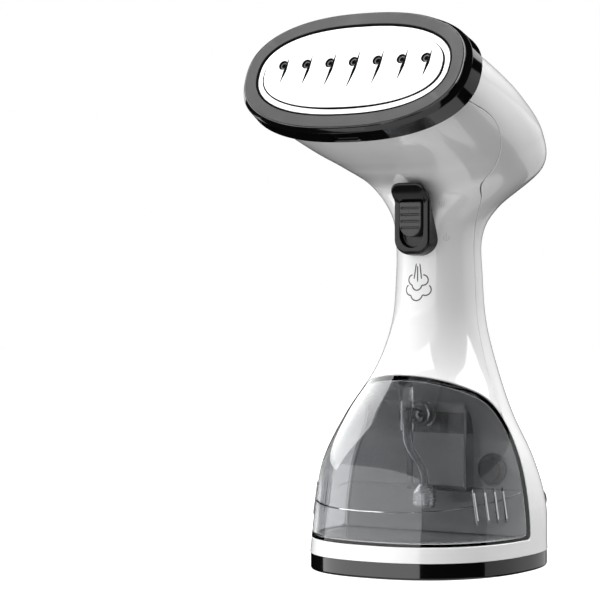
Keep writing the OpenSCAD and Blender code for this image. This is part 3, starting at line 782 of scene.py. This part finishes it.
def make_shells():
    front_skin = trimmed(front_field, SPANS)
    front = thick_skin(front_skin, SHELL, LIP)
    body = form_object("front_shell_form", front)
    slot_lo, slot_hi = box_mm("slider_carriage")
    slot = block("slot", (-3.5, -25, slot_lo[2] - 5.5), (3.5, -6, slot_hi[2] - 2.5))
    combine(body, slot)
    take_normals(body, [front])
    piece(body, WHITE, "white_shell", "front_shell")
    rear = thick_skin(trimmed(rear_field, SPANS), SHELL, LIP)
    body = form_object("rear_shell_form", rear)
    piece(body, WHITE, "white_shell", "rear_shell")
    for k, (x, z, r) in enumerate(SCREW_HOLES):
        y = box_mm("shell_screw_%d" % (k + 1))[1][1]
        cup = [(1.8, -4), (1.8, -2.5), (3.75, -2.5), (3.75, 1), (5.5, 1), (5.5, -4)]
        boss = lathe("screw_boss_%d" % (k + 1), cup, (x, y, z), (0, 1, 0))
        piece(boss, WHITE_IN, "white_inner")
    return front_skin


# ---------- tank ----------
SOAK = 5
TANK_SPANS = np.linspace(0, SOAK, SOAK * 16 + 1)
TANK_LIP = 0.45
INNER_LIP = 1.6
EDGE_GAP = 0.4
RIB_Y = [-38.6, -32, -25.3, -18.6]
RIB_Z = (29.5, 46.5)
RIB_R = 0.9
CREST_OUT = 0.62
CREST_R = 0.36
BAY = (np.array([-9, -2, 45]), np.array([23, 38, 125]))
BAY_GAP = 0.6
OUTLET_Z = 84
WELD_Z = 35
WELD_RISE = 0.125
WELD_GAP = 0.06


def tank_skin(gap, lip, inset):
    """Closed surface of the tank, gap inside its outline and inset below the housing's surface."""
    return bridged(trimmed(lambda p: tank_side(p, gap, CORNER_R) + lip, TANK_SPANS, inset), lip)


def make_tank():
    outer = tank_skin(EDGE_GAP, TANK_LIP, 0.01)
    inner = tank_skin(TANK_GAP + TANK_WALL, INNER_LIP, TANK_WALL)
    tank = form_object("tank_work", outer)
    tree = tree_of(outer)
    ribs = []
    for k, (side, y) in enumerate([(side, y) for side in (-1, 1) for y in RIB_Y]):
        hits = [tree.ray_cast(Vector((side * 100, y, z)), Vector((-side, 0, 0)))[0] for z in RIB_Z]
        low, high = [np.array([hit.x - side * 0.2, y, z]) for hit, z in zip(hits, RIB_Z)]
        ribs.append(capsule(low, high, RIB_R))
        combine(tank, form_object("rib_%d" % k, ribs[-1]), "UNION")
        # Pale strip on the rib's outer crest: a painted highlight.
        crest = capsule(low + [side * CREST_OUT, 0, 1.5], high + [side * CREST_OUT, 0, -1.5], CREST_R)
        piece(form_object("rib_crest_%d" % (k + 1), crest), RIB_HIGHLIGHT_PAINT, "smoke_clear", body="tank")
    hollow = form_object("hollow", inner)
    wall = BAY_GAP + TANK_WALL
    combine(hollow, block("bay_out", BAY[0] - wall, BAY[1] + wall))
    combine(tank, hollow)
    combine(tank, block("bay_in", BAY[0] - BAY_GAP, BAY[1] + BAY_GAP))
    drill(tank, 5.2, -6, 4, (0, -2, OUTLET_Z))
    plug = sum(box_mm("tank_plug")) / 2
    drill(tank, 6, -8, 8, (plug[0], 4, plug[2]))

    def below_weld(points):
        p = np.array(points, float)
        p[:, 2] += WELD_RISE * (p[:, 1] + 65)
        return p

    upper = linked(tank.copy())
    upper.data = tank.data.copy()
    upper.name = "tank_upper_form"
    tank.name = "tank_lower_form"
    low = block("low", (-90, -110, -60), (90, 60, WELD_Z + WELD_GAP), below_weld)
    high = block("high", (-90, -110, WELD_Z - WELD_GAP), (90, 60, 190), below_weld)
    for obj, rest, node in ((upper, low, "tank_upper"), (tank, high, "tank_lower")):
        combine(obj, rest)
        take_normals(obj, [outer, inner] + ribs)
        piece(obj, SMOKE, "smoke_clear", node, body="tank")


# ---------- foot ----------
def make_foot():
    a, b = BASE_A - 0.4, BASE_B - 0.4
    profile = fillet([
        (0, FOOT_TOP, 0.5), (0, 0, 1.2), (4.5, 0, 1.0), (5.3, 0.8, 0.6), (a - 6, 0.8, 0), (a - 6, 3, 0),
        (2.8, 3, 0.8), (2.6, FOOT_TOP, 0.4),
    ], closed=True)
    foot = oval_solid("foot_form", a, b, profile, place=lambda p: p)
    screw_bore = [(0, -2), (3.8, -2), (3.8, 4), (1.8, 4), (1.8, 20), (0, 20)]
    for k in range(4):
        x, y, _ = sum(box_mm("base_screw_%d" % (k + 1))) / 2
        combine(foot, lathe("bore", screw_bore, (x, y, 0), (0, 0, 1), 48, False))
    piece(even_shading(foot), BLACK, "black_gloss", "base_foot")


# ---------- steam head ----------
PLATE_A, PLATE_B = 58.7, 26.0
RING_A, RING_B = 66.5, 33.7
COLLAR_A, COLLAR_B = 71.0, 35.7
COLLAR_DROP = 0.4
HOLES = 7
HOLE_PITCH = 14.7
HOLE_RISE = 4.7
HOLE_R = 2.8
PANEL = 3.8


def make_collar():
    """Collar with a sloping side: share 0 is its outer outline and share 1 the face ring's."""
    rings = []
    profile = fillet([
        (0, -12.6, 0), (0.02, -12.2, 0), (0.2, -3.5, 0), (0.26, -3.1, 0), (0.4, -2.8, 0), (0.84, -0.8, 0.1),
        (0.86, 0.3, 0.15), (0.97, 0.4, 0.1), (1.0, 0.0, 0), (1.0, -4.8, 0), (1.8, -4.8, 0), (1.8, -11, 0),
        (1.1, -11, 0), (0.9, -12.6, 0),
    ])
    for share, height in profile:
        outline = polar(COLLAR_A + (RING_A - COLLAR_A) * share, COLLAR_B + (RING_B - COLLAR_B) * share)
        outline[:, 1] -= COLLAR_DROP * max(0, 1 - share)
        rings.append(on_face(at_height(outline, height)))
    ring = loft("head_collar_form", rings, True)
    notch = block("notch", (-8, -COLLAR_B - 5, -11.2), (8, -COLLAR_B + 1.2, -8.2), on_face)
    combine(ring, notch)
    piece(even_shading(ring), BLACK, "black_gloss", "head_collar")


def make_face_ring():
    profile = fillet([
        (0, 0.6, 0.45), (0, -2.2, 0.2), (0.5, -2.5, 0.2), (0.5, -4.7, 0), (6.6, -4.7, 0), (6.6, 0.6, 0.2),
    ], closed=True)
    ring = oval_solid("face_ring_form", RING_A, RING_B, profile)
    piece(ring, RING_GREY, "face_ring", "bezel_ring")
    seal = fillet([
        (6.55, -4.6, 0), (6.55, 0.25, 0.15), (7.1, 0.38, 0.2), (7.72, 0.25, 0.15), (7.72, -4.6, 0),
    ], closed=True)
    piece(oval_solid("plate_seal", RING_A, RING_B, seal), SEAL_AND_SHADE_BLACK, "black_gloss")


def hole_x(k):
    return (k - (HOLES - 1) / 2) * HOLE_PITCH


def fin(k, grow, z0, z1, count=30):
    """Thin curved blade that passes a steam hole on its right side and fades out at both ends."""
    length = 25.0 - 2.7 * abs(k - (HOLES - 1) / 2)
    s = np.linspace(-0.62, 0.38, count)
    u = s * length
    half = grow + 0.95 * (1 - np.abs(2 * (s + 0.2)) ** 1.1).clip(0)
    x = hole_x(k) + 2.3 + 0.11 * u - 0.0062 * u * u
    outline = np.vstack([
        np.column_stack([x - half, HOLE_RISE + u]), np.column_stack([x + half, HOLE_RISE + u])[::-1],
    ])
    rings = [on_face(at_height(outline, z)) for z in (z0, z1)]
    return loft("steam_fin_%d" % (k + 1), rings)


def make_plate():
    profile = fillet([
        (PLATE_B - 0.5, 0.8, 0), (PANEL, 0.8, 0.25), (PANEL + 0.12, 0.05, 0.05), (0, 0, 0.5), (0, -4, 0),
        (PLATE_B - 0.5, -4, 0),
    ])
    plate = oval_solid("steam_plate_form", PLATE_A, PLATE_B, profile, closed=False)
    jet = [
        (0, -1.9), (0.55, -1.9), (0.8, -1.0), (1.15, -1.0), (1.3, -1.5), (1.7, -1.5), (1.85, -0.7),
        (2.2, -0.7), (2.35, -1.1), (2.6, -1.0), (HOLE_R, -0.25), (HOLE_R, -2.6), (0, -2.6),
    ]
    # Thin grey ring in each cup: a painted highlight arc.
    bright = [(1.46, -1.3), (1.52, -0.8), (1.78, -0.8), (1.84, -1.3)]
    hole_bore = [(0, -2.7), (HOLE_R, -2.7), (HOLE_R, 3), (0, 3)]
    out = (0, OUT[0], OUT[1])
    for k in range(HOLES):
        x = hole_x(k)
        centre = on_face([x, HOLE_RISE, 0.8])[0]
        bore = lathe("bore", hole_bore, centre, out, 48, False)
        keep = block("keep", (x + 2.2, HOLE_RISE - 5, -9), (x + 6, HOLE_RISE + 5, 5), on_face)
        combine(bore, keep)
        combine(plate, bore)
        combine(plate, fin(k, 0.08, 0.2, 2.0))
        # Near-black cup in the hole: painted shade.
        nozzle = lathe("steam_nozzle_%d" % (k + 1), jet, centre, out, 48)
        piece(even_shading(nozzle, 30), NOZZLE_SHADE, "black_gloss")
        piece(lathe("steam_ring_%d" % (k + 1), bright, centre, out, 40), JET_HIGHLIGHT_GREY, "black_gloss")
        # Black blade filling the groove: painted shade in the groove.
        piece(fin(k, 0.02, 0.1, 0.72), SEAL_AND_SHADE_BLACK, "black_gloss")
    piece(even_shading(plate, 25), PLATE_WHITE, "plate_white", "steam_plate")
    make_panel_painted_shadow()


def make_panel_painted_shadow():
    """Painted shadow: a dark strip round the raised panel's step, widest along the bottom and sides; it
    thins out along the top, where the panel blends in.
    """
    inner = polar(PLATE_A - PANEL - 0.02, PLATE_B - PANEL - 0.02)
    turn = np.degrees(np.arctan2(inner[:, 1] / PLATE_B, inner[:, 0] / PLATE_A))
    away = np.abs((turn - 97 + 180) % 360 - 180)
    width = 0.05 + 0.9 * np.clip((away - 52) / 38, 0, 1)
    outer = inner * (1 + width / np.linalg.norm(inner, axis=1))[:, None]
    rings = [
        on_face(at_height(outline, z))
        for outline, z in ((outer, 0.0), (outer, 0.38), (inner, 0.5), (inner, 0.0))
    ]
    seam = loft("panel_seam", rings, True)
    piece(even_shading(seam), SEAL_AND_SHADE_BLACK, "black_gloss")


# ---------- switch ----------
def front_outline(half_w, z0, z1, r0, r1, count=96):
    """Front-view outline with round corners, evenly spaced, starting at the middle of the bottom."""
    corners = [(half_w, z0, r0), (half_w, z1, r1), (-half_w, z1, r1), (-half_w, z0, r0)]
    path = fillet(corners, closed=True, steps=14)
    path = np.vstack([[0, z0], path, [0, z0]])
    run = np.concatenate([[0], np.cumsum(np.linalg.norm(np.diff(path, axis=0), axis=1))])
    at = np.linspace(0, run[-1], count + 1)[:-1]
    return np.column_stack([np.interp(at, run, path[:, 0]), np.interp(at, run, path[:, 1])])


PAD_Y = -20.5
PAD_W = 10.9
PAD_Z = (172.5, 211.6)
SLIDER_LO, SLIDER_HI = box_mm("switch_slider")
SLIDER_HALF = SLIDER_HI[0]
WINDOW_Z = (176.2, 202)
RECESS_Y = -16.6
CAP_BACK = -17.2
STEM_HALF = 1.6
STEM_GAP = 0.2


def brow(z):
    """How far the pad's face stands forward at height z: flat, then a brow at the top."""
    t = np.clip((z - 201.5) / 9.5, 0, 1)
    low = np.clip((177 - z) / 5, 0, 1)
    return PAD_Y - 5.6 * t * (1.5 - 0.5 * t) * np.clip(t * 4, 0, 1) + 1.2 * low * low


def make_switch(front_skin):
    tree = tree_of(front_skin)

    def skin_y(outline):
        hits = [from_front(tree, x, z)[0] for x, z in outline]
        return np.array([hit.y if hit else -11.0 for hit in hits])

    def outline(o):
        return front_outline(PAD_W - o, PAD_Z[0] + o, PAD_Z[1] - o, 8.5 - o, 5.5 - o)

    base = outline(-0.7)
    base[:, 0] *= 1 - 0.62 * np.clip((base[:, 1] - 180) / 27, 0, 1) ** 1.4
    seat = skin_y(base) + 0.5
    rings = [at_depth(base, seat + 1.2), at_depth(base, seat - 0.6)]
    edge_r = 1.5
    for turn in np.radians([0, 15, 30, 45, 60, 75, 90]):
        flat = outline(-0.2 + edge_r * (1 - math.cos(turn)))
        y = brow(flat[:, 1]) + edge_r * (1 - math.sin(turn))
        rings.append(at_depth(flat, np.minimum(y, seat - 0.7)))
    window = front_outline(SLIDER_HALF + 0.6, *WINDOW_Z, SLIDER_HALF + 0.5, 1.6)
    rim = outline(edge_r - 0.2)
    for share in (0.35, 0.7):
        flat = rim + (window - rim) * share
        rings.append(at_depth(flat, brow(flat[:, 1])))
    centre = window.mean(axis=0)
    for grow, drop in ((1.05, 0.0), (1.015, 0.12), (1.0, 0.45)):
        flat = centre + (window - centre) * grow
        rings.append(at_depth(flat, brow(flat[:, 1]) + drop))
    for share, y in ((1.0, CAP_BACK), (0.97, RECESS_Y - 0.15), (0.9, RECESS_Y)):
        rings.append(at_depth(centre + (window - centre) * share, y))
    slot = front_outline(STEM_HALF + STEM_GAP, SLIDER_LO[2] + 0.5, 196.6, 0.15, 0.15)
    rings += [at_depth(slot, RECESS_Y), at_depth(slot, skin_y(slot) + 1.7)]
    pad = loft("switch_pad_form", rings, True)
    piece(even_shading(pad, 40), SWITCH_BLACK, "switch_black", "switch_bezel")
    make_slider()


def make_slider():
    z0, z1 = SLIDER_LO[2], SLIDER_HI[2]
    front = SLIDER_LO[1]
    rings = []
    for o, y in ((0, CAP_BACK), (0, front + 0.7), (0.06, front + 0.35), (0.22, front + 0.12), (0.5, front),
                 (1.1, front + 0.02)):
        half = SLIDER_HALF - o
        rings.append(at_depth(front_outline(half, z0 + o, z1 - o, half - 0.01, 1.2), y))
    cap = loft("slider_form", rings)
    stem = block("stem", (-STEM_HALF, CAP_BACK - 0.1, z0 + 5.7), (STEM_HALF, SLIDER_HI[1], z0 + 13.7))
    combine(cap, stem, "UNION")
    groove_half = SLIDER_HALF - 1.6
    for k in range(4):
        z = 187.15 + 3.6 * k
        groove = capsule((-groove_half, front - 0.1, z), (groove_half, front - 0.1, z), 0.75)
        combine(cap, form_object("groove", groove))
    piece(even_shading(cap, 35), SLIDER_BLACK, "slider_black", "switch_slider", body="slider")


# ---------- printed marks ----------
def arc(x, z, r, first, last, steps=14):
    t = np.radians(np.linspace(first, last, steps + 1))
    return np.column_stack([x + r * np.cos(t), z + r * np.sin(t)])


def line(x0, z0, x1, z1, count=8):
    return np.column_stack([np.linspace(x0, x1, count), np.linspace(z0, z1, count)])


def printed(name, strokes, width, skin, material):
    """Flat ink lines that lie on the shell, from strokes in front view (x, z)."""
    tree = tree_of(skin)
    points, faces = [], []
    for stroke in strokes:
        hits = [from_front(tree, x, z) for x, z in stroke]
        path = np.array([hit[0] for hit in hits])
        ups = np.array([np.array(hit[1]) * (1 if hit[1].y < 0 else -1) for hit in hits])
        side = unit(np.cross(ups, unit(np.gradient(path, axis=0))))
        start, last = len(points) * 4, (len(points) + len(path) - 1) * 4
        taper = np.full(len(path), width / 2)
        taper[[0, -1]] *= 0.55
        for p, n, s, w in zip(path, ups * 0.05, side, taper):
            points.append([p + s * w - n, p + s * w + n, p - s * w + n, p - s * w - n])
        for first in range(start, last, 4):
            row = list(range(first, first + 4))
            faces += strip(row, [v + 4 for v in row])
        faces += [tuple(range(start + 3, start - 1, -1)), tuple(range(last, last + 4))]
    mark = outward(mesh_object(name, np.array(points).reshape(-1, 3), faces))
    piece(even_shading(mark), material, "white_shell")


def make_marks(skin):
    clouds = [
        np.vstack([arc(-2.75, 158.6, 2.75, 95, 255), arc(0, 155.9, 3.0, 190, 350),
                   arc(3.8, 158.5, 2.85, 262, 455)]),
        np.vstack([arc(-4.1, 153.1, 3.0, 118, 268), arc(-0.1, 150.9, 3.7, 195, 345),
                   arc(5.3, 153.2, 3.1, 248, 412)]),
    ]
    rays = [line(-0.55, 167.6, -1.9, 159.1, 10), line(0.27, 166.2, 0.38, 157.5, 10),
            line(1.65, 167.6, 2.75, 159.1, 10)]
    printed("steam_mark", clouds + rays, 0.72, skin, INK)
    more = [line(11.6, 201.6, 12.4, 198.6), line(13.0, 202.0, 13.2, 198.2), line(14.6, 201.6, 14.0, 198.6)]
    printed("mark_more", more, 0.4, skin, INK_PALE)
    less = [arc(15.4, 181.6, 1.3, 120, 420), line(15.4, 180.9, 15.4, 184.2)]
    printed("mark_less", less, 0.4, skin, INK_PALE)


# ---------- cord inlet, hoses and small parts ----------
def make_gland():
    lo, hi = box_mm("cord_gland")
    x, _, z = (lo + hi) / 2
    outline = [(3.6, 55, 0), (3.6, hi[1], 0.5), (8.0, hi[1], 0.8)]
    for y in (81.5, 78, 74.5):
        outline += [(8.0, y + 1.2, 0.2), (7.0, y + 1.0, 0.3), (7.0, y + 0.2, 0.3), (8.0, y, 0.2)]
    outline += [(8.0, 72.2, 0.3), (9.6, 71.6, 0.5), (9.6, 69, 0.2), (8.0, 69, 0.2), (8.0, 55, 0.4)]
    gland = lathe("cord_gland_form", fillet(outline, closed=True, steps=3), (x, 0, z), (0, 1, 0), 96)
    piece(gland, BLACK, "black_gloss", "cord_gland")


def make_band():
    """Black band round the pump bay's box, seen through the tank."""
    rings = []
    for grow, z in ((0.05, 73.6), (0.4, 73.6), (0.4, 85), (0.05, 85)):
        x0, x1, y0, y1 = BAY[0][0] - grow, BAY[1][0] + grow, BAY[0][1] - grow, BAY[1][1] - 4
        path = fillet([(x0, y0, 1.2), (x1, y0, 1.2), (x1, y1, 1.2), (x0, y1, 1.2)], closed=True)
        rings.append(at_height(path, z))
    band = loft("bay_band", rings, True)
    piece(even_shading(band), BLACK_IN, "black_inner")


def make_tubes():
    lo, hi = box_mm("filter_weight")
    weight = np.append(((lo + hi) / 2)[:2], hi[2])
    sleeve = np.array([0, -25.5, 75.0])
    bend = bezier(sleeve, sleeve - [0, 0, 13], weight + [0, 0, 13], weight + [0, 0, 0.8], 30)
    path = np.vstack([[sleeve + [0, 0, 5]], [sleeve + [0, 0, 2]], bend, [weight + [0, 0, 0.2]]])
    make_band()
    piece(hose("pickup_tube_form", path, 2.3, 1.5), HOSE, "hose_clear", "pickup_tube", body="tank")


# ---------- CAD nodes that stay ----------
FINISHES = {
    "white_inner": (WHITE_IN, ["tank_deck", "tank_bulkhead", "slider_carriage", "pump_body", "cord_clamp",
                               "handle_rib_1", "handle_rib_2"]),
    "black_inner": (BLACK_IN, ["boiler_frame", "thermostat", "microswitch", "pump_bracket", "board_parts",
                               "gland_nut", "tank_spigot"]),
    "plunger_red": (RED, ["switch_plunger"]),
    "hose_clear": (HOSE, ["inlet_hose", "steam_hose", "outlet_sleeve"]),
    "seal_rubber": (RUBBER, ["plate_gasket", "tank_seal", "tank_plug"]),
    "cast_metal": (CAST, ["boiler", "heating_element"]),
    "steel": (STEEL, ["thermal_fuse", "filter_weight", "pump_piston", "pump_spring", "shell_screw_1",
                      "shell_screw_2"] + ["base_screw_%d" % k for k in (1, 2, 3, 4)]),
    "coil_copper": (COPPER, ["pump_coil"]),
    "board_green": (BOARD, ["control_board"]),
}


def finish_cad_nodes():
    for material, names in FINISHES.values():
        for name in names:
            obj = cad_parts[name]
            obj.data.materials.clear()
            obj.data.materials.append(material)
            for face in obj.data.polygons:
                face.material_index = 0
            weld = obj.modifiers.new("weld", "WELD")
            weld.merge_threshold = 2e-6
            edge = obj.modifiers.new("edges", "BEVEL")
            edge.width = 0.00018
            edge.segments = 2
            edge.limit_method = "ANGLE"
            edge.angle_limit = math.radians(38)
            even = obj.modifiers.new("even_shading", "WEIGHTED_NORMAL")
            even.keep_sharp = True


# ---------- studio ----------
def make_camera():
    away, height = 1341.35, 161.2
    azimuth, turn, tip = np.radians([30, 33.08, 0.59])
    cam = linked(bpy.data.objects.new("camera", bpy.data.cameras.new("camera")))
    cam.location = (away * math.sin(azimuth) * MM, -away * math.cos(azimuth) * MM, height * MM)
    cam.rotation_euler = (math.pi / 2 - tip, 0, turn)
    cam.data.sensor_width = 36
    cam.data.lens = 144.73
    cam.data.clip_start, cam.data.clip_end = 0.05, 50
    bpy.context.scene.camera = cam


def panel(name, turn, rise, distance, size, radiance):
    """Softbox in the direction turn (degrees from +X towards +Y) and rise, as bright as radiance."""
    light = bpy.data.lights.new(name, "AREA")
    light.shape = "RECTANGLE"
    light.size, light.size_y = size
    light.energy = radiance * math.pi * size[0] * size[1]
    turn, rise = math.radians(turn), math.radians(rise)
    to_light = Vector((math.cos(rise) * math.cos(turn), math.cos(rise) * math.sin(turn), math.sin(rise)))
    obj = linked(bpy.data.objects.new(name, light))
    obj.location = Vector((0, 0, 0.15)) + to_light * distance
    obj.rotation_euler = (-to_light).to_track_quat("-Z", "Y").to_euler()
    return obj


def reach(light, names, state):
    """Keeps a light off some pieces (EXCLUDE), or on them alone (INCLUDE)."""
    members = bpy.data.collections.new(light.name + "_reach")
    for name in names:
        members.objects.link(bpy.data.objects[name])
    light.light_linking.receiver_collection = members
    for member in members.collection_objects:
        member.light_linking.link_state = state


def make_floor():
    """Pale glowing floor: its glow is dimmer near the object, a painted shadow round it, and brightest away
    from it.
    """
    across, along = np.eye(3)[:2]
    floor = mesh_object("floor", 4000 * around(across, along, 64), [tuple(range(64))])
    table = Nodes("floor_glow_painted_shadow")
    place = table.add("ShaderNodeVectorMath", operation="LENGTH")
    table.link(table.place, place.inputs[0])
    # Glow rises from 0.8 near the object to 1.02 further out: the dimmer middle is painted shadow.
    glow_and_painted_shadow = table.spread(place.outputs["Value"], 0.8, 1.02, 0.12, 0.45)
    table.feed("Emission Strength", glow_and_painted_shadow)
    table.link(table.mixed(table.spread(table.noise(8, 3), 0, 1), (0.4, 0.4, 0.4), (0.41, 0.41, 0.41)),
               table.shader.inputs["Base Color"])
    set_sockets(table, {"Roughness": 0.9, "Specular IOR Level": 0.0, "Emission Color": (1, 1, 1, 1)})
    floor.data.materials.append(table.material)
    floor.visible_diffuse = False
    floor.visible_glossy = False
    floor.visible_shadow = False


def make_studio():
    scene = bpy.context.scene
    scene.view_settings.view_transform = "Standard"
    world = bpy.data.worlds.new("studio")
    world.use_nodes = True
    scene.world = world
    world.cycles_visibility.diffuse = False
    world.cycles_visibility.glossy = False
    back = world.node_tree.nodes["Background"]
    back.inputs["Color"].default_value = (1, 1, 1, 1)
    back.inputs["Strength"].default_value = 1.0
    make_floor()
    tank, head = ["tank_upper_form", "tank_lower_form"], ["head_collar_form"]
    for name in tank:
        bpy.data.objects[name].visible_shadow = False
    panel("front", -120, -3, 1.0, (2.75, 0.75), 1.8)
    panel("right", 57, -3, 1.2, (2.1, 0.7), 0.5)
    panel("table", -40, -72, 1.2, (2.4, 2.4), 0.72)
    reach(panel("left_tank", -198, 30, 1.2, (1.6, 1.0), 4.0), tank, "INCLUDE")
    reach(panel("left", -198, 30, 1.2, (1.6, 1.0), 1.9), tank, "EXCLUDE")
    reach(panel("key", -112, 60, 1.4, (1.3, 0.9), 5.0), tank, "EXCLUDE")
    reach(panel("front_upper", -120, 33, 1.2, (2.9, 0.8), 1.1), tank, "EXCLUDE")
    reach(panel("top", 100, 72, 1.5, (1.3, 1.0), 8.5), tank + head, "EXCLUDE")
    reach(panel("collar", 50, 42, 1.4, (1.4, 1.0), 1.6), head, "INCLUDE")
    reach(panel("right_top", 50, 42, 1.4, (1.4, 1.0), 5.4), tank + head, "EXCLUDE")


make_camera()
skin = make_shells()
make_tank()
make_foot()
make_collar()
make_face_ring()
make_plate()
make_switch(skin)
make_marks(skin)
make_gland()
make_tubes()
finish_cad_nodes()
make_studio()
